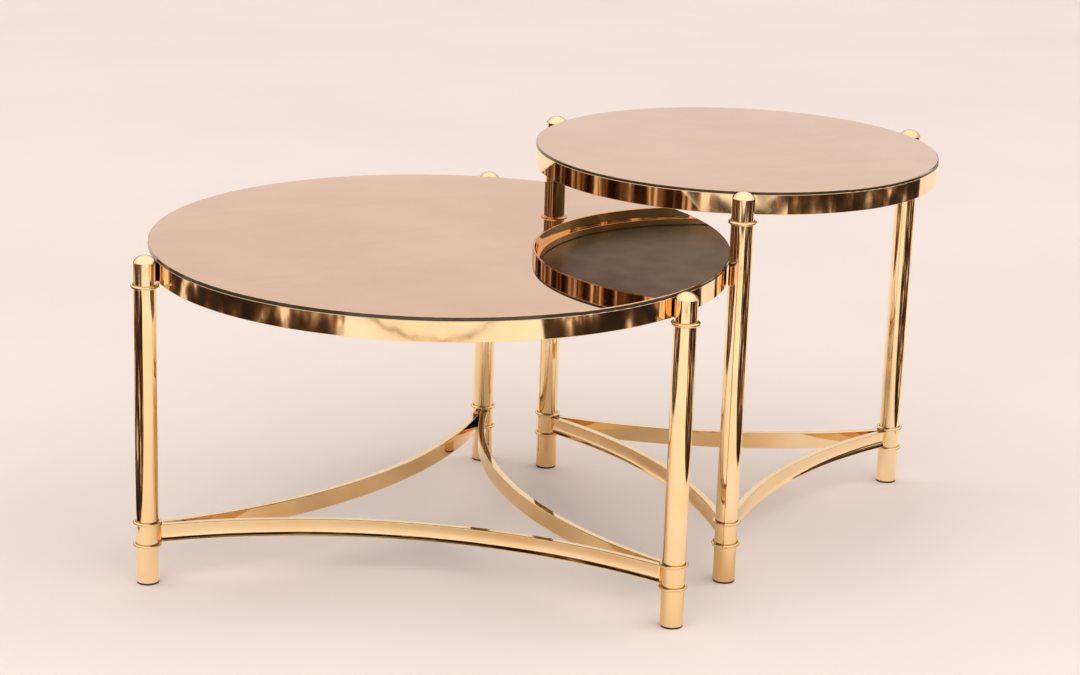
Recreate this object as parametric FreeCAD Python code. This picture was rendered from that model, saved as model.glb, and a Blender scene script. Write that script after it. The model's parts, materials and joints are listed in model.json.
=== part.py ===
import FreeCAD, Part
import math
import os
from collections import namedtuple

# A pair of nesting side tables: a low, wide one, and a taller, narrower one whose top
# passes over it. Each table is a welded frame of three round legs, a band under the top
# and three bowed stretchers, with a mirror glass top that lies on the band.
#
# Millimetres, +Z up. The origin is on the floor, in the middle of the pair's bounding box.
# +X runs from the low table to the tall one, which stands as far under as it goes.

# Tops
LARGE_TOP_RADIUS = 400.0
LARGE_HEIGHT = 458.0
LARGE_GLASS = 5.0
SMALL_TOP_RADIUS = 291.0
SMALL_HEIGHT = 553.0
SMALL_GLASS = 4.0
GLASS_INSET = 0.5  # how far the glass stops short of the band's outer face
GLASS_EDGE = 1.0  # radius of the polished edge
BAND_HEIGHT = 27.5
BAND_WALL = 3.0
BAND_EDGE = 0.8
LEDGE_HEIGHT = 10.0
LEDGE_DEPTH = 8.0
LEDGE_EDGE = 0.6
PAD_HEIGHT = 1.0  # clear pads between the ledge and the glass
PAD_RADIUS = 3.0
PAD_COUNT = 6

# Legs, which stand against the outside of the band
LEG_COUNT = 3
LARGE_FIRST_LEG = 54.0  # degrees from +X, about the table's centre
SMALL_FIRST_LEG = 0.0
TUBE_RADIUS = 15.5
TUBE_WALL = 1.5
CAP_RISE = 9.5  # height of the domed cap
CAP_ABOVE_GLASS = 4.0
CAP_SPIGOT = 12.0
PLUG_FLANGE = 3.0
PLUG_INSET = 0.3  # how far the plug's flange stops short of the tube's outer face
PLUG_EDGE = 0.8
PLUG_SPIGOT = 15.0
SPIGOT_FIT = 0.1  # play between a spigot and the tube's bore

# Bead collars round the legs
BEAD_RADIUS = 2.3
BEAD_OFFSET = 1.9  # from the tube's face to the centre of the bead's section
TOP_COLLAR_DROP = 38.0  # below the top of the glass
UPPER_FOOT_COLLAR_Z = 87.7
LOWER_FOOT_COLLAR_Z = 55.7

# Stretchers: flat tube on edge, bowed in towards the table's centre
BAR_HEIGHT = 25.0
BAR_THICKNESS = 10.0
BAR_WALL = 1.2
BAR_BEVEL = 1.0
BAR_INNER_BEVEL = 0.4
BAR_DISH = 1.75  # how far bending draws in the wall on the inside of the bend
BAR_CENTRE_Z = 71.7
BEND_RADIUS = 745.0
BAR_PAIR_GAP = 0.6  # between the two bars that meet side by side at a leg
BAR_RUN_IN = 10.0  # extra length that is coped away to fit the leg

# What is left between the tall table's near legs and the low table's band
NEST_CLEARANCE = 1.0

TURN = 360.0
UP = FreeCAD.Vector(0, 0, 1)
BORE_RADIUS = TUBE_RADIUS - TUBE_WALL
SPIGOT_RADIUS = BORE_RADIUS - SPIGOT_FIT
COLLAR_RADIUS = TUBE_RADIUS + BEAD_OFFSET + BEAD_RADIUS

Table = namedtuple("Table", "name centre_x top_radius height glass first_leg")


# Shapes about the Z axis

def cylinder(radius, z_low, z_high):
    return Part.makeCylinder(radius, z_high - z_low, FreeCAD.Vector(0, 0, z_low))


def rims(solid):
    return [edge for edge in solid.Edges if isinstance(edge.Curve, Part.Circle)]


def round_rims(solid, radius):
    return solid.makeFillet(radius, rims(solid))


def hoop(inner_radius, outer_radius, z_low, z_high, edge_radius):
    blank = cylinder(outer_radius, z_low, z_high)
    return round_rims(blank.cut(cylinder(inner_radius, z_low, z_high)), edge_radius)


def spin(edges):
    """Turn a closed profile of the XZ plane into a solid about the Z axis."""
    return Part.Face(Part.Wire(edges)).revolve(FreeCAD.Vector(), UP, TURN)


def profile_point(radius, z):
    return FreeCAD.Vector(radius, 0, z)


def moved(shape, x, y, z=0.0):
    return shape.translated(FreeCAD.Vector(x, y, z))


# Levels and places of one table

def band_top(table):
    return table.height - table.glass


def tube_top(table):
    return table.height + CAP_ABOVE_GLASS - CAP_RISE


def around(radius, first_angle, count):
    """Evenly spaced places on a circle about the table's centre."""
    angles = [math.radians(first_angle + index * TURN / count) for index in range(count)]
    return [(radius * math.cos(angle), radius * math.sin(angle)) for angle in angles]


def leg_places(top_radius, first_leg):
    return around(top_radius + TUBE_RADIUS, first_leg, LEG_COUNT)


# Top

def mirror_top(table):
    disc = cylinder(table.top_radius - GLASS_INSET, band_top(table), table.height)
    return round_rims(disc, GLASS_EDGE)


def top_band(table):
    top = band_top(table)
    return hoop(table.top_radius - BAND_WALL, table.top_radius, top - BAND_HEIGHT, top, BAND_EDGE)


def ledge_ring(table):
    outer = table.top_radius - BAND_WALL
    top = band_top(table) - PAD_HEIGHT
    return hoop(outer - LEDGE_DEPTH, outer, top - LEDGE_HEIGHT, top, LEDGE_EDGE)


def glass_pads(table):
    top = band_top(table)
    pad = cylinder(PAD_RADIUS, top - PAD_HEIGHT, top)
    pad_circle = table.top_radius - BAND_WALL - LEDGE_DEPTH / 2
    places = around(pad_circle, table.first_leg, PAD_COUNT)
    return Part.makeCompound([moved(pad, x, y) for x, y in places])


# Leg pieces, each about the leg's own axis

def leg(table):
    return cylinder(TUBE_RADIUS, PLUG_FLANGE, tube_top(table)).cut(
        cylinder(BORE_RADIUS, PLUG_FLANGE, tube_top(table)))


def dome_cap(table):
    """A spherical cap with a spigot that sits in the tube."""
    sphere_radius = (TUBE_RADIUS ** 2 + CAP_RISE ** 2) / (2 * CAP_RISE)
    sphere_centre = CAP_RISE - sphere_radius
    half_way = math.asin(TUBE_RADIUS / sphere_radius) / 2
    rim = profile_point(TUBE_RADIUS, 0)
    shoulder = profile_point(
        sphere_radius * math.sin(half_way), sphere_centre + sphere_radius * math.cos(half_way))
    crown = profile_point(0, CAP_RISE)
    straight_run = Part.makePolygon([
        crown,
        profile_point(0, -CAP_SPIGOT),
        profile_point(SPIGOT_RADIUS, -CAP_SPIGOT),
        profile_point(SPIGOT_RADIUS, 0),
        rim,
    ])
    dome_arc = Part.Arc(rim, shoulder, crown).toShape()
    return moved(spin(straight_run.Edges + [dome_arc]), 0, 0, tube_top(table))


def bead_collar(z):
    """A D-section ring with its flat side on the tube."""
    half_flat = math.sqrt(BEAD_RADIUS ** 2 - BEAD_OFFSET ** 2)
    low = profile_point(TUBE_RADIUS, -half_flat)
    high = profile_point(TUBE_RADIUS, half_flat)
    bead_arc = Part.Arc(low, profile_point(COLLAR_RADIUS, 0), high).toShape()
    return moved(spin([bead_arc, Part.makeLine(high, low)]), 0, 0, z)


def foot_plug():
    flange = round_rims(cylinder(TUBE_RADIUS - PLUG_INSET, 0, PLUG_FLANGE), PLUG_EDGE)
    return flange.fuse(cylinder(SPIGOT_RADIUS, PLUG_FLANGE, PLUG_FLANGE + PLUG_SPIGOT))


# Stretchers

def bar_section(inset, bevel):
    """The bar's outline, or its hollow's, with the wall inside the bend drawn in by the bending."""
    near = BEND_RADIUS - BAR_THICKNESS / 2 + inset
    far = BEND_RADIUS + BAR_THICKNESS / 2 - inset
    half_height = BAR_HEIGHT / 2 - inset
    half_flat = half_height - bevel
    corners = [
        (near, half_flat),
        (near + bevel, half_height),
        (far - bevel, half_height),
        (far, half_flat),
        (far, -half_flat),
        (far - bevel, -half_height),
        (near + bevel, -half_height),
        (near, -half_flat),
    ]
    points = [profile_point(radius, BAR_CENTRE_Z + level) for radius, level in corners]
    dish = Part.Arc(points[-1], profile_point(near + BAR_DISH, BAR_CENTRE_Z), points[0])
    return Part.Face(Part.Wire(Part.makePolygon(points).Edges + [dish.toShape()]))


def bent_tube(sweep):
    """A hollow bar bent about the Z axis, starting from +X."""
    outer = bar_section(0, BAR_BEVEL).revolve(FreeCAD.Vector(), UP, sweep)
    hollow = bar_section(BAR_WALL, BAR_INNER_BEVEL).revolve(FreeCAD.Vector(), UP, sweep)
    return outer.cut(hollow)


def stretchers(table):
    """One bar between each pair of neighbouring legs, coped to fit round both."""
    half_bay = math.radians(TURN / LEG_COUNT / 2)
    side_step = (BAR_THICKNESS + BAR_PAIR_GAP) / 2
    end_across = table.top_radius * math.sin(half_bay) - side_step * math.cos(half_bay)
    end_out = table.top_radius * math.cos(half_bay) + side_step * math.sin(half_bay)
    bend_centre = end_out + math.sqrt(BEND_RADIUS ** 2 - end_across ** 2)
    half_sweep = math.degrees(math.asin(end_across / BEND_RADIUS) + BAR_RUN_IN / BEND_RADIUS)

    blank = bent_tube(2 * half_sweep)
    legs = leg_places(table.top_radius, table.first_leg)
    posts = [moved(cylinder(TUBE_RADIUS, 0, table.height), x, y) for x, y in legs]
    first_bay = table.first_leg + math.degrees(half_bay)
    bars = []
    for index, (x, y) in enumerate(around(bend_centre, first_bay, LEG_COUNT)):
        facing_in = first_bay + index * TURN / LEG_COUNT + TURN / 2
        bar = blank.rotated(FreeCAD.Vector(), UP, facing_in - half_sweep)
        bars.append(moved(bar, x, y).cut(posts))
    return bars


# The two tables

def nested_distance():
    """Between the tables' centres when the tall table's two near legs meet the low one's band."""
    half_bay = math.radians(TURN / LEG_COUNT / 2)
    leg_circle = SMALL_TOP_RADIUS + TUBE_RADIUS
    reach = LARGE_TOP_RADIUS + TUBE_RADIUS + NEST_CLEARANCE
    half_spread = leg_circle * math.sin(half_bay)
    return leg_circle * math.cos(half_bay) + math.sqrt(reach ** 2 - half_spread ** 2)


def centres():
    """Both tables' centres on X, with the pair's bounding box centred on the origin."""
    distance = nested_distance()
    large_legs = leg_places(LARGE_TOP_RADIUS, LARGE_FIRST_LEG)
    small_legs = leg_places(SMALL_TOP_RADIUS, SMALL_FIRST_LEG)
    low_end = min(x for x, y in large_legs) - COLLAR_RADIUS
    high_end = distance + max(x for x, y in small_legs) + COLLAR_RADIUS
    large_centre = -(low_end + high_end) / 2
    return large_centre, large_centre + distance


def export(table, node, shape):
    moved(shape, table.centre_x, 0).exportStep(f"parts/{table.name}_{node}.step")


def build(table):
    export(table, "mirror_top", mirror_top(table))
    export(table, "top_band", top_band(table))
    export(table, "ledge_ring", ledge_ring(table))
    export(table, "glass_pads", glass_pads(table))
    leg_pieces = {
        "leg": leg(table),
        "dome_cap": dome_cap(table),
        "foot_plug": foot_plug(),
        "top_collar": bead_collar(table.height - TOP_COLLAR_DROP),
        "upper_foot_collar": bead_collar(UPPER_FOOT_COLLAR_Z),
        "lower_foot_collar": bead_collar(LOWER_FOOT_COLLAR_Z),
    }
    for number, (x, y) in enumerate(leg_places(table.top_radius, table.first_leg), start=1):
        for name, piece in leg_pieces.items():
            export(table, f"{name}_{number}", moved(piece, x, y))
    for number, bar in enumerate(stretchers(table), start=1):
        export(table, f"stretcher_{number}", bar)


os.makedirs("parts", exist_ok=True)
large_x, small_x = centres()
build(Table("large", large_x, LARGE_TOP_RADIUS, LARGE_HEIGHT, LARGE_GLASS, LARGE_FIRST_LEG))
build(Table("small", small_x, SMALL_TOP_RADIUS, SMALL_HEIGHT, SMALL_GLASS, SMALL_FIRST_LEG))
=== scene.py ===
import bpy
import json
import math
from mathutils import Matrix, Vector


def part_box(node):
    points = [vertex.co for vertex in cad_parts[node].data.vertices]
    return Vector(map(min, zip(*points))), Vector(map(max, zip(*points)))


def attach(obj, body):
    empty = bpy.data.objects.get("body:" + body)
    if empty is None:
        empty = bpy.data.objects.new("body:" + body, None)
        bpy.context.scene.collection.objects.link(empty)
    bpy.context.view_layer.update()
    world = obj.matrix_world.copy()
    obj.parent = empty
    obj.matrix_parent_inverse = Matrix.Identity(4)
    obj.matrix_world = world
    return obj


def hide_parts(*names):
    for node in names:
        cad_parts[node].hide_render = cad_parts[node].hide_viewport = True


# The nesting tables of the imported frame, in polished gold and bronze mirror glass,
# on a pale studio floor. Metres, in the frame's own axes.

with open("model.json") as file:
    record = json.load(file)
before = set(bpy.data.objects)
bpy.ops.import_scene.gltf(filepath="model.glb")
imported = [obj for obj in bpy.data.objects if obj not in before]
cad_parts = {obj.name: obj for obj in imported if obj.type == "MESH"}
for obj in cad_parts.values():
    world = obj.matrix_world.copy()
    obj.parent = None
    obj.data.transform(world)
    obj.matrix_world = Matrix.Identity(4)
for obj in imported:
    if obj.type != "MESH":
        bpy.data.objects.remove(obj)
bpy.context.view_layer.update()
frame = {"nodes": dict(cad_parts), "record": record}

# Camera: at the photograph's viewing angle
CAMERA_PLACE = Vector((-1.7422, -3.1946, 1.3494))
CAMERA_HEADING = math.radians(28.285)  # clockwise from +Y
CAMERA_DEPRESSION = math.radians(16.157)
CAMERA_ROLL = math.radians(1.854)
CAMERA_LENS = 88.465  # mm
SENSOR_WIDTH = 36.0  # mm

# Stretchers: the bowed bars, with rounded corners and an outer wall drawn in by the bending
BAR_THICKNESS = 0.010
BAR_CORNER = 0.0012
BAR_PAIR_GAP = 0.0006  # between the two bars that meet at a leg
BAR_DISH_SLOPE = math.radians(17)  # of the drawn-in wall at its upper and lower edges
BEND_RADIUS = 0.745
BAR_STEPS = 96  # along the bar
CORNER_STEPS = 6  # round each corner of its section
DISH_STEPS = 16  # across the drawn-in wall
LEG_COUNT = 3

# Finishes, in linear colour
GOLD = (0.95, 0.730, 0.445)
GOLD_DEEP = (0.93, 0.655, 0.345)
BRONZE_MIRROR = (0.70, 0.400, 0.225)
BRONZE_MIRROR_PALE = (0.78, 0.475, 0.295)
SMEAR = (0.62, 0.36, 0.21)
GLASS_EDGE = (0.034, 0.030, 0.020)
BACK_PAINT = (0.066, 0.088, 0.056)
BACK_PAINT_PALE = (0.080, 0.100, 0.066)
GLASS_IOR = 1.52
CLEAR_VINYL = (0.90, 0.92, 0.90)
HAZY_VINYL = (0.78, 0.80, 0.77)
VINYL_IOR = 1.5
BLACK_PLASTIC = (0.018, 0.017, 0.016)
WORN_PLASTIC = (0.045, 0.042, 0.038)

# Studio floor, in its own axes: X across the camera's view and Y away from the camera
FLOOR_SIZE = 24.0
PALE = (0.87, 0.775, 0.735)
PALE_WARM = (0.90, 0.815, 0.775)
PAPER_ROUGHNESS = 0.85
PAPER_SPECULAR = 0.15

# The pale sweep that polished metal mirrors in place of the floor
# Painted light: the sweep is brighter than the paper the camera sees, and stands in for more light
# falling on it
PALE_MIRRORED = (1.0, 0.93, 0.89)
# Painted light: under the tables the sweep is tinted gold and darker, where the gold throws its light
# back on it
PAINTED_GOLD_BOUNCE = (0.80, 0.65, 0.51)  # by the light that the gold throws back on it
UNDER_TABLES_FADE = (0.30, 0.46)  # distances from the middle where that light fades
SWEEP_HALF_WIDTH = 0.77
SWEEP_EDGE = 0.02  # how far its sides are blurred each way
FRONT_FLARE_START = 1.0  # how far in front of the middle it begins to widen
FRONT_FLARE = 0.45  # metres wider on each side for each metre further
BACK_FLARE_START = 0.2  # the same two behind the middle
BACK_FLARE = 1.5
FRONT_FAR = -1.90  # the stretch in front of the tables where light and dark alternate
FRONT_NEAR = -2.90
FRONT_RAGGEDNESS = 0.04  # how far its edges wander
FRONT_STRETCH = (  # place from near to far, and 1 for light or 0 for dark
    (0.28, 0.0), (0.32, 1.0), (0.47, 1.0), (0.50, 0.0), (0.69, 0.0), (0.73, 1.0),
    (0.955, 1.0), (0.964, 0.0), (0.976, 0.0), (0.991, 1.0),
)

# The brown surroundings of the sweep, with bright streaks
STREAK_BREAKS = 3.0  # how often a streak changes along its length, per metre
STREAKS = (  # noise level and colour
    (0.42, (0.010, 0.004, 0.002)),
    (0.52, (0.045, 0.020, 0.010)),
    (0.56, (0.170, 0.085, 0.042)),
    (0.60, (0.380, 0.240, 0.150)),
    (0.63, (0.950, 0.820, 0.700)),
)
FLOOR_STREAKS = {"fineness": 6.0, "brightness": 0.0}
ROOM_STREAKS = {"fineness": 7.0, "brightness": -0.05}
LATER_STREAKS = {"fineness": 7.0, "brightness": 0.04}  # the room from the second bounce on

# The room. Each pair gives heights, as sines of the elevation, between which one look fades
# into the next.
PALE_ROOM = (0.90, 0.84, 0.80)
PALE_CEILING = (1.30, 1.22, 1.15)
LOW_GLOW = (1.60, 1.51, 1.45)  # the room's light on the floor, from low down and from high up
HIGH_GLOW = (0.45, 0.43, 0.41)
STREAKS_TO_ROOM = (0.13, 0.19)
ROOM_TO_CEILING = (0.35, 0.80)
LATER_STREAKS_TO_ROOM = (0.35, 0.60)
LOW_TO_HIGH_GLOW = (0.50, 0.65)
SECOND_BOUNCE_DEPTH = 2.5  # a ray reaches the room at depth 2 after one bounce, and 3 after two

# Lights: softboxes by place and watts, soft suns by heading from the view, elevation and strength
SOFT_WHITE = (1.0, 0.945, 0.905)
SOFTBOX_SIZE = 2.7
SOFTBOXES = (
    ("key", (-1.6, -2.4, 3.0), 28),
    ("fill", (1.8, -2.0, 2.6), 22),
)
SUN_SPREAD = math.radians(40)
SOFT_SUNS = (
    ("left", -80, 25, 0.42),
    ("right", 80, 25, 0.62),
)


# Node helpers

# The Mix node's sockets for each data type: its A and B inputs and its result
MIX_SOCKETS = {"FLOAT": (2, 3, 0), "RGBA": (6, 7, 2)}


def new_material(name):
    material = bpy.data.materials.new(name)
    material.use_nodes = True
    tree = material.node_tree
    return material, tree, tree.nodes["Principled BSDF"]


def add(tree, kind, **settings):
    node = tree.nodes.new(kind)
    for name, value in settings.items():
        setattr(node, name, value)
    return node


def feed(tree, value, socket):
    """Link a socket to another node's output, or set it to a number or a colour."""
    if isinstance(value, bpy.types.NodeSocket):
        tree.links.new(value, socket)
    elif isinstance(value, tuple):
        socket.default_value = (*value, 1.0)
    else:
        socket.default_value = value


def object_point(tree, stretch=(1.0, 1.0, 1.0)):
    """The surface point in the frame's metres, stretched along each axis."""
    coordinates = add(tree, "ShaderNodeTexCoord")
    mapping = add(tree, "ShaderNodeMapping")
    mapping.inputs["Scale"].default_value = stretch
    tree.links.new(coordinates.outputs["Object"], mapping.inputs["Vector"])
    return mapping.outputs["Vector"]


def noise_at(tree, point, scale, detail, roughness):
    node = add(tree, "ShaderNodeTexNoise")
    feed(tree, scale, node.inputs["Scale"])
    feed(tree, detail, node.inputs["Detail"])
    feed(tree, roughness, node.inputs["Roughness"])
    tree.links.new(point, node.inputs["Vector"])
    return node.outputs["Fac"]


def noise(tree, scale, detail=3.0, roughness=0.5, stretch=(1.0, 1.0, 1.0)):
    return noise_at(tree, object_point(tree, stretch), scale, detail, roughness)


def map_range(tree, value, low, high, to_low=0.0, to_high=1.0, interpolation="SMOOTHSTEP"):
    node = add(tree, "ShaderNodeMapRange", interpolation_type=interpolation)
    for name, number in (("From Min", low), ("From Max", high), ("To Min", to_low), ("To Max", to_high)):
        node.inputs[name].default_value = number
    tree.links.new(value, node.inputs["Value"])
    return node.outputs["Result"]


def math_node(tree, operation, first, second):
    node = add(tree, "ShaderNodeMath", operation=operation)
    feed(tree, first, node.inputs[0])
    feed(tree, second, node.inputs[1])
    return node.outputs["Value"]


def mix(tree, factor, first, second, data_type="RGBA"):
    """Blend two colours, or two numbers if the data type is FLOAT."""
    node = add(tree, "ShaderNodeMix", data_type=data_type)
    input_a, input_b, result = MIX_SOCKETS[data_type]
    tree.links.new(factor, node.inputs["Factor"])
    feed(tree, first, node.inputs[input_a])
    feed(tree, second, node.inputs[input_b])
    return node.outputs[result]


def ramp(tree, value, stops):
    """A colour ramp with one stop for each (place, colour)."""
    node = add(tree, "ShaderNodeValToRGB")
    elements = node.color_ramp.elements
    while len(elements) < len(stops):
        elements.new(0.5)
    for element, (place, colour) in zip(elements, stops):
        element.position = place
        element.color = (*colour, 1.0)
    tree.links.new(value, node.inputs["Fac"])
    return node.outputs["Color"]


def components(tree, vector):
    node = add(tree, "ShaderNodeSeparateXYZ")
    tree.links.new(vector, node.inputs["Vector"])
    return node.outputs


def length(tree, vector):
    node = add(tree, "ShaderNodeVectorMath", operation="LENGTH")
    tree.links.new(vector, node.inputs["Vector"])
    return node.outputs["Value"]


def streaks(tree, point, fineness, brightness):
    """Brown surroundings with bright streaks that fan out from the middle. A higher brightness
    turns more of the noise into streaks."""
    place = components(tree, point)
    heading = math_node(tree, "ARCTAN2", place["X"], place["Y"])
    polar = add(tree, "ShaderNodeCombineXYZ")
    feed(tree, math_node(tree, "MULTIPLY", heading, fineness), polar.inputs["X"])
    feed(tree, math_node(tree, "MULTIPLY", length(tree, point), STREAK_BREAKS), polar.inputs["Y"])
    feed(tree, math_node(tree, "MULTIPLY", place["Z"], STREAK_BREAKS), polar.inputs["Z"])
    grain = noise_at(tree, polar.outputs["Vector"], scale=1.0, detail=4.0, roughness=0.6)
    return ramp(tree, math_node(tree, "ADD", grain, brightness), STREAKS)


def bump(tree, shader, height, strength, distance):
    node = add(tree, "ShaderNodeBump")
    feed(tree, strength, node.inputs["Strength"])
    feed(tree, distance, node.inputs["Distance"])
    tree.links.new(height, node.inputs["Height"])
    tree.links.new(node.outputs["Normal"], shader.inputs["Normal"])


# Materials

def polished_gold():
    """Mirror-polished plating, with faint buffing waves, handling smudges and fine specks."""
    material, tree, shader = new_material("polished_gold")
    feed(tree, 1.0, shader.inputs["Metallic"])
    tone = map_range(tree, noise(tree, scale=9.0, detail=4.0), 0.35, 0.70)
    feed(tree, mix(tree, tone, GOLD, GOLD_DEEP), shader.inputs["Base Color"])

    smudges = noise(tree, scale=26.0, detail=6.0, roughness=0.62)
    specks = noise(tree, scale=900.0, detail=2.0)
    smudge = map_range(tree, smudges, 0.50, 0.78, to_low=0.045, to_high=0.13)
    speck = map_range(tree, specks, 0.66, 0.78, to_low=0.0, to_high=0.16)
    feed(tree, math_node(tree, "ADD", smudge, speck), shader.inputs["Roughness"])

    wave = noise(tree, scale=24.0, detail=2.0, roughness=0.4, stretch=(1.0, 1.0, 0.35))
    buffing = noise(tree, scale=420.0, detail=2.0, stretch=(1.0, 1.0, 0.06))
    height = math_node(tree, "ADD", wave, math_node(tree, "MULTIPLY", buffing, 0.012))
    bump(tree, shader, height, strength=0.5, distance=0.0006)
    return material


def mirror_glass():
    """Bronze-tinted mirror: a silvered face, a dark polished edge and a painted back."""
    material, tree, shader = new_material("mirror_glass")
    geometry = add(tree, "ShaderNodeNewGeometry")
    upward = components(tree, geometry.outputs["Normal"])["Z"]
    facing_up = map_range(tree, upward, 0.35, 0.75)
    facing_down = map_range(tree, upward, -0.98, -0.90, to_low=1.0, to_high=0.0)

    cloud = map_range(tree, noise(tree, scale=3.6, detail=5.0, roughness=0.55), 0.34, 0.66)
    wipes = noise(tree, scale=5.0, detail=6.0, roughness=0.7, stretch=(0.5, 3.0, 1.0))
    wipe = map_range(tree, wipes, 0.52, 0.72, to_low=0.0, to_high=0.35)
    clean = mix(tree, cloud, BRONZE_MIRROR, BRONZE_MIRROR_PALE)
    face = mix(tree, wipe, clean, SMEAR)
    blotch = map_range(tree, noise(tree, scale=14.0, detail=5.0, roughness=0.6), 0.30, 0.75)
    paint = mix(tree, blotch, BACK_PAINT, BACK_PAINT_PALE)
    edge_or_face = mix(tree, facing_up, GLASS_EDGE, face)
    feed(tree, mix(tree, facing_down, edge_or_face, paint), shader.inputs["Base Color"])
    feed(tree, facing_up, shader.inputs["Metallic"])

    smudges = noise(tree, scale=6.5, detail=6.0, roughness=0.66)
    smudge = map_range(tree, smudges, 0.50, 0.74, to_low=0.012, to_high=0.10)
    dust = map_range(tree, noise(tree, scale=620.0, detail=2.0), 0.70, 0.80, to_low=0.0, to_high=0.30)
    face_roughness = math_node(tree, "ADD", smudge, dust)
    edge_roughness = map_range(tree, noise(tree, scale=160.0), 0.30, 0.75, to_low=0.05, to_high=0.16)
    paint_grain = noise(tree, scale=20.0, detail=4.0)
    paint_roughness = map_range(tree, paint_grain, 0.30, 0.75, to_low=0.30, to_high=0.40)
    glass_roughness = mix(tree, facing_up, edge_roughness, face_roughness, data_type="FLOAT")
    roughness = mix(tree, facing_down, glass_roughness, paint_roughness, data_type="FLOAT")
    feed(tree, roughness, shader.inputs["Roughness"])
    feed(tree, GLASS_IOR, shader.inputs["IOR"])
    feed(tree, math_node(tree, "MULTIPLY", facing_up, 0.35), shader.inputs["Coat Weight"])
    feed(tree, 0.02, shader.inputs["Coat Roughness"])
    feed(tree, GLASS_IOR, shader.inputs["Coat IOR"])

    orange_peel = math_node(tree, "MULTIPLY", noise(tree, scale=260.0), facing_down)
    ripple = math_node(tree, "MULTIPLY", noise(tree, scale=2.4, detail=1.0), 0.6)
    bump(tree, shader, math_node(tree, "ADD", orange_peel, ripple), strength=0.4, distance=0.0004)
    return material


def clear_pad():
    """Soft clear vinyl with a faint haze."""
    material, tree, shader = new_material("clear_pad")
    haze = map_range(tree, noise(tree, scale=420.0), 0.35, 0.70)
    feed(tree, mix(tree, haze, CLEAR_VINYL, HAZY_VINYL), shader.inputs["Base Color"])
    feed(tree, mix(tree, haze, 0.10, 0.34, data_type="FLOAT"), shader.inputs["Roughness"])
    feed(tree, 0.75, shader.inputs["Transmission Weight"])
    feed(tree, VINYL_IOR, shader.inputs["IOR"])
    bump(tree, shader, noise(tree, scale=1500.0, detail=2.0), strength=0.3, distance=0.00005)
    return material


def black_plastic():
    """Moulded black plastic with a fine spark-eroded grain."""
    material, tree, shader = new_material("black_plastic")
    grain = noise(tree, scale=2600.0, detail=2.0)
    wear = map_range(tree, noise(tree, scale=90.0, detail=4.0), 0.45, 0.75)
    feed(tree, mix(tree, wear, BLACK_PLASTIC, WORN_PLASTIC), shader.inputs["Base Color"])
    roughness = map_range(tree, grain, 0.30, 0.70, to_low=0.42, to_high=0.62)
    feed(tree, roughness, shader.inputs["Roughness"])
    bump(tree, shader, grain, strength=0.5, distance=0.00008)
    return material


def dress():
    """Give every CAD node the finish of its slot in the record, and return the finishes."""
    finishes = {
        "polished_gold": polished_gold(),
        "mirror_glass": mirror_glass(),
        "clear_pad": clear_pad(),
        "black_plastic": black_plastic(),
    }
    for part in frame["record"]["subparts"]:
        for slot in frame["nodes"][part["node"]].material_slots:
            slot.material = finishes[part["material_slot"]]
    return finishes


# Stretchers

def spread(low, high, steps):
    """Evenly spaced numbers from low to high, both included."""
    return [low + (high - low) * step / steps for step in range(steps + 1)]


def bar_section(height):
    """The bar's outline as (outward, up) points about its centre, clockwise from its inner wall."""
    side = BAR_THICKNESS / 2 - BAR_CORNER
    top = height / 2 - BAR_CORNER
    slope = BAR_DISH_SLOPE
    corners = (  # the centre of each rounded corner, and its first and last angle
        (-side, top, math.pi, math.pi / 2),
        (side, top, math.pi / 2, -slope),
        (side, -top, slope, -math.pi / 2),
        (-side, -top, -math.pi / 2, -math.pi),
    )
    inner_top, outer_top, outer_bottom, inner_bottom = [
        [
            (out + BAR_CORNER * math.cos(angle), up + BAR_CORNER * math.sin(angle))
            for angle in spread(first, last, CORNER_STEPS)
        ]
        for out, up, first, last in corners
    ]
    edge_out, edge_up = outer_top[-1]
    dish_radius = edge_up / math.sin(slope)
    dish_centre = edge_out + dish_radius * math.cos(slope)
    dish = [
        (dish_centre - dish_radius * math.cos(angle), dish_radius * math.sin(angle))
        for angle in spread(slope, -slope, DISH_STEPS)
    ]
    return inner_top + outer_top + dish[1:-1] + outer_bottom + inner_bottom


def middle(node):
    """The middle of a CAD node's box."""
    low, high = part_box(node)
    return (low + high) / 2


def bar_rails(table, number):
    """The bar's long lines, one for each point of its section, cut to fit against both tubes."""
    centre = middle(f"{table}_top_band").xy
    legs = [middle(f"{table}_leg_{index}").xy for index in (number, number % LEG_COUNT + 1)]
    low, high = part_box(f"{table}_leg_{number}")
    tube_radius = (high.x - low.x) / 2
    low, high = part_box(f"{table}_stretcher_{number}")
    bar_height, bar_middle = high.z - low.z, (high.z + low.z) / 2

    outward = ((legs[0] + legs[1]) / 2 - centre).normalized()
    along = (legs[1] - legs[0]).normalized()
    half_bay = math.pi / LEG_COUNT
    band_radius = (legs[0] - centre).length - tube_radius
    side_step = (BAR_THICKNESS + BAR_PAIR_GAP) / 2
    end_across = band_radius * math.sin(half_bay) - side_step * math.cos(half_bay)
    end_out = band_radius * math.cos(half_bay) + side_step * math.sin(half_bay)
    bend_centre = centre + outward * (end_out + math.sqrt(BEND_RADIUS ** 2 - end_across ** 2))
    leg_offset = legs[1] - bend_centre
    leg_distance = leg_offset.length
    leg_angle = math.atan2(leg_offset.dot(along), -leg_offset.dot(outward))

    rails = []
    for out, up in bar_section(bar_height):
        radius = BEND_RADIUS - out
        reach = (leg_distance ** 2 + radius ** 2 - tube_radius ** 2) / (2 * leg_distance * radius)
        end_angle = leg_angle - math.acos(reach)
        rail = []
        for angle in spread(-end_angle, end_angle, BAR_STEPS):
            place = bend_centre + radius * (math.sin(angle) * along - math.cos(angle) * outward)
            rail.append((*place, bar_middle + up))
        rails.append(rail)
    return rails


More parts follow.
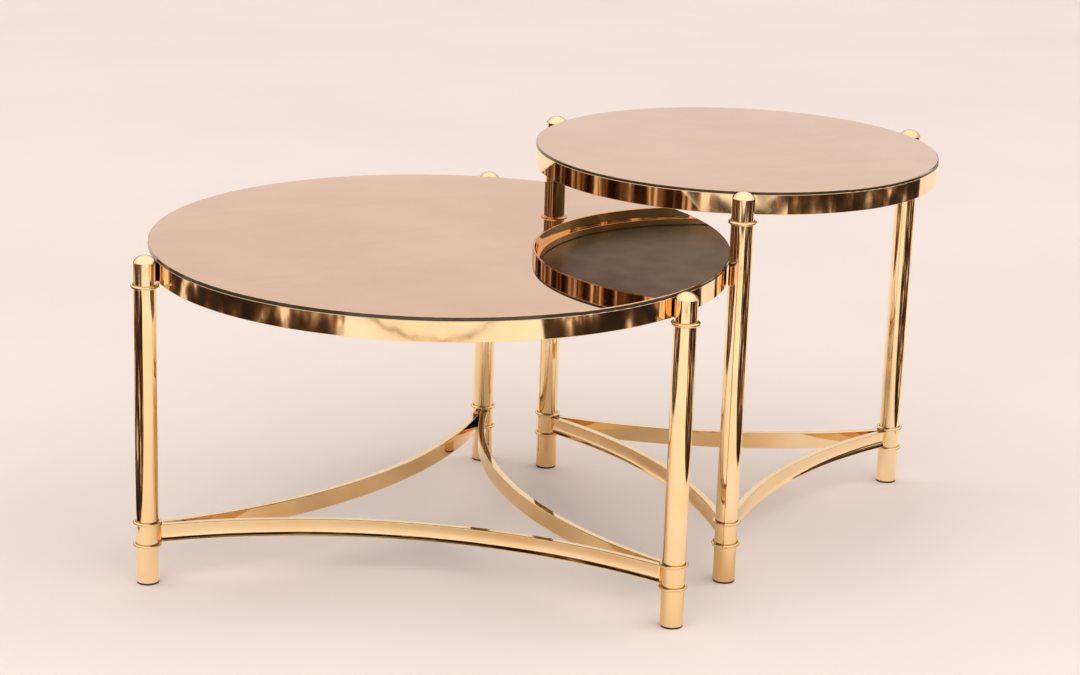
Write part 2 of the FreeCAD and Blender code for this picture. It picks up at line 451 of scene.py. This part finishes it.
def bowed_bar(table, number):
    """One stretcher, between two neighbouring legs, closed at both ends."""
    rails = bar_rails(table, number)
    count, stations = len(rails), BAR_STEPS + 1
    points = [point for rail in rails for point in rail]
    faces = []
    for rail in range(count):
        here, beside = rail * stations, (rail + 1) % count * stations
        for step in range(BAR_STEPS):
            faces.append((here + step, here + step + 1, beside + step + 1, beside + step))
    faces.append(tuple(rail * stations for rail in range(count)))
    faces.append(tuple(rail * stations + BAR_STEPS for rail in reversed(range(count))))
    mesh = bpy.data.meshes.new(f"{table}_bowed_bar_{number}")
    mesh.from_pydata(points, [], faces)
    mesh.shade_smooth()
    return mesh


def add_stretchers(table, body, finish):
    for number in range(1, LEG_COUNT + 1):
        mesh = bowed_bar(table, number)
        mesh.materials.append(finish)
        bar = bpy.data.objects.new(mesh.name, mesh)
        bpy.context.scene.collection.objects.link(bar)
        bar.modifiers.new("flat_faces_stay_flat", "WEIGHTED_NORMAL")
        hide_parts(f"{table}_stretcher_{number}")
        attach(bar, body)


# Studio

def add_camera():
    forward = Vector((
        math.sin(CAMERA_HEADING) * math.cos(CAMERA_DEPRESSION),
        math.cos(CAMERA_HEADING) * math.cos(CAMERA_DEPRESSION),
        -math.sin(CAMERA_DEPRESSION),
    ))
    level = Vector((math.cos(CAMERA_HEADING), -math.sin(CAMERA_HEADING), 0.0))
    upright = level.cross(forward)
    right = level * math.cos(CAMERA_ROLL) + upright * math.sin(CAMERA_ROLL)
    up = upright * math.cos(CAMERA_ROLL) - level * math.sin(CAMERA_ROLL)
    data = bpy.data.cameras.new("camera")
    data.lens = CAMERA_LENS
    data.sensor_width = SENSOR_WIDTH
    camera = bpy.data.objects.new("camera", data)
    bpy.context.scene.collection.objects.link(camera)
    turn = Matrix((right, up, -forward)).transposed()
    camera.matrix_world = Matrix.Translation(CAMERA_PLACE) @ turn.to_4x4()
    bpy.context.scene.camera = camera


def beyond(tree, value, start):
    """How far a value is past the start, or 0 before it."""
    return math_node(tree, "MAXIMUM", math_node(tree, "SUBTRACT", value, start), 0.0)


def sweep_mask(tree, point):
    """1 on the pale sweep, 0 on the darker floor round it."""
    place = components(tree, point)
    in_front = beyond(tree, math_node(tree, "MULTIPLY", place["Y"], -1.0), FRONT_FLARE_START)
    behind = beyond(tree, place["Y"], BACK_FLARE_START)
    front_flare = math_node(tree, "MULTIPLY", in_front, FRONT_FLARE)
    flare = math_node(tree, "ADD", front_flare, math_node(tree, "MULTIPLY", behind, BACK_FLARE))
    off_centre = math_node(tree, "SUBTRACT", math_node(tree, "ABSOLUTE", place["X"], 0.0), flare)
    low, high = SWEEP_HALF_WIDTH - SWEEP_EDGE, SWEEP_HALF_WIDTH + SWEEP_EDGE
    across = map_range(tree, off_centre, low, high, to_low=1.0, to_high=0.0)
    wander = noise(tree, scale=7.0, detail=4.0, roughness=0.6)
    ragged = math_node(tree, "ADD", place["Y"], math_node(tree, "MULTIPLY", wander, FRONT_RAGGEDNESS))
    distance = map_range(tree, ragged, FRONT_NEAR, FRONT_FAR, interpolation="LINEAR")
    along = ramp(tree, distance, [(stop, (light, light, light)) for stop, light in FRONT_STRETCH])
    return math_node(tree, "MULTIPLY", across, along)


def floor_material():
    """Plain pale paper to the camera. Polished metal sees it as a sweep on a darker floor, painted
    brighter than the paper, with painted gold-tinted light under the tables.
    """
    material, tree, shader = new_material("studio_floor")
    feed(tree, PAPER_ROUGHNESS, shader.inputs["Roughness"])
    feed(tree, PAPER_SPECULAR, shader.inputs["Specular IOR Level"])
    point = object_point(tree)
    mottle = map_range(tree, noise(tree, scale=1.1), 0.30, 0.70)
    paper = mix(tree, mottle, PALE, PALE_WARM)
    from_middle = length(tree, point)
    # Painted light: the gold's thrown-back light under the tables, which fades out away from the middle
    painted_bounce_mask = map_range(tree, from_middle, *UNDER_TABLES_FADE, to_low=1.0, to_high=0.0)
    sweep = mix(tree, painted_bounce_mask, PALE_MIRRORED, PAINTED_GOLD_BOUNCE)
    mirrored = mix(tree, sweep_mask(tree, point), streaks(tree, point, **FLOOR_STREAKS), sweep)
    path = add(tree, "ShaderNodeLightPath")
    seen = mix(tree, path.outputs["Is Glossy Ray"], paper, mirrored)
    feed(tree, seen, shader.inputs["Base Color"])
    bump(tree, shader, noise(tree, scale=300.0, detail=4.0), strength=0.1, distance=0.0004)
    return material


def add_floor():
    """A floor turned to face the camera, so the sweep runs away from it."""
    half = FLOOR_SIZE / 2
    corners = [(-half, -half, 0), (half, -half, 0), (half, half, 0), (-half, half, 0)]
    mesh = bpy.data.meshes.new("studio_floor")
    mesh.from_pydata(corners, [], [(0, 1, 2, 3)])
    mesh.materials.append(floor_material())
    floor = bpy.data.objects.new("studio_floor", mesh)
    bpy.context.scene.collection.objects.link(floor)
    floor.rotation_euler.z = -CAMERA_HEADING


def add_world():
    """A plain pale room to the camera, whose glow lights the floor. Metal mirrors it with streaks
    near the horizon, and as a browner room from the second bounce on."""
    world = bpy.data.worlds.new("studio")
    bpy.context.scene.world = world
    world.use_nodes = True
    tree = world.node_tree
    coordinates = add(tree, "ShaderNodeTexCoord")
    direction = coordinates.outputs["Generated"]
    height = components(tree, direction)["Z"]
    path = add(tree, "ShaderNodeLightPath")

    overhead = mix(tree, map_range(tree, height, *ROOM_TO_CEILING), PALE_ROOM, PALE_CEILING)
    above_horizon = map_range(tree, height, *STREAKS_TO_ROOM)
    first_look = mix(tree, above_horizon, streaks(tree, direction, **ROOM_STREAKS), overhead)
    above_room = map_range(tree, height, *LATER_STREAKS_TO_ROOM)
    later_look = mix(tree, above_room, streaks(tree, direction, **LATER_STREAKS), PALE_ROOM)
    later = math_node(tree, "GREATER_THAN", path.outputs["Ray Depth"], SECOND_BOUNCE_DEPTH)
    mirrored = mix(tree, later, first_look, later_look)

    glow = mix(tree, map_range(tree, height, *LOW_TO_HIGH_GLOW), LOW_GLOW, HIGH_GLOW)
    lit_or_mirrored = mix(tree, path.outputs["Is Glossy Ray"], glow, mirrored)
    seen = mix(tree, path.outputs["Is Camera Ray"], lit_or_mirrored, PALE_ROOM)
    feed(tree, seen, tree.nodes["Background"].inputs["Color"])


def add_light(name, kind, strength):
    """A soft white light that no mirror shows."""
    data = bpy.data.lights.new(name, kind)
    data.energy = strength
    data.color = SOFT_WHITE
    light = bpy.data.objects.new(name, data)
    light.visible_glossy = False
    bpy.context.scene.collection.objects.link(light)
    return light


def aim(light, source):
    """Turn a light to shine from its source towards the middle of the tables."""
    light.rotation_euler = source.to_track_quat("Z", "Y").to_euler()


def add_softbox(name, place, power):
    """A large area light, placed in the floor's axes."""
    light = add_light(name, "AREA", power)
    light.data.size = SOFTBOX_SIZE
    light.location = Matrix.Rotation(-CAMERA_HEADING, 3, "Z") @ Vector(place)
    aim(light, light.location)


def add_soft_sun(name, heading, elevation, strength):
    """A wide, distant light. Its heading is clockwise from the camera's view."""
    light = add_light(name, "SUN", strength)
    light.data.angle = SUN_SPREAD
    turn = CAMERA_HEADING + math.radians(heading)
    rise = math.radians(elevation)
    aim(light, Vector((math.sin(turn) * math.cos(rise), math.cos(turn) * math.cos(rise), math.sin(rise))))


finishes = dress()
add_stretchers("large", "low_table", finishes["polished_gold"])
add_stretchers("small", "tall_table", finishes["polished_gold"])
add_camera()
add_floor()
add_world()
for name, place, power in SOFTBOXES:
    add_softbox(name, place, power)
for name, heading, elevation, strength in SOFT_SUNS:
    add_soft_sun(name, heading, elevation, strength)
bpy.context.scene.view_settings.view_transform = "Standard"
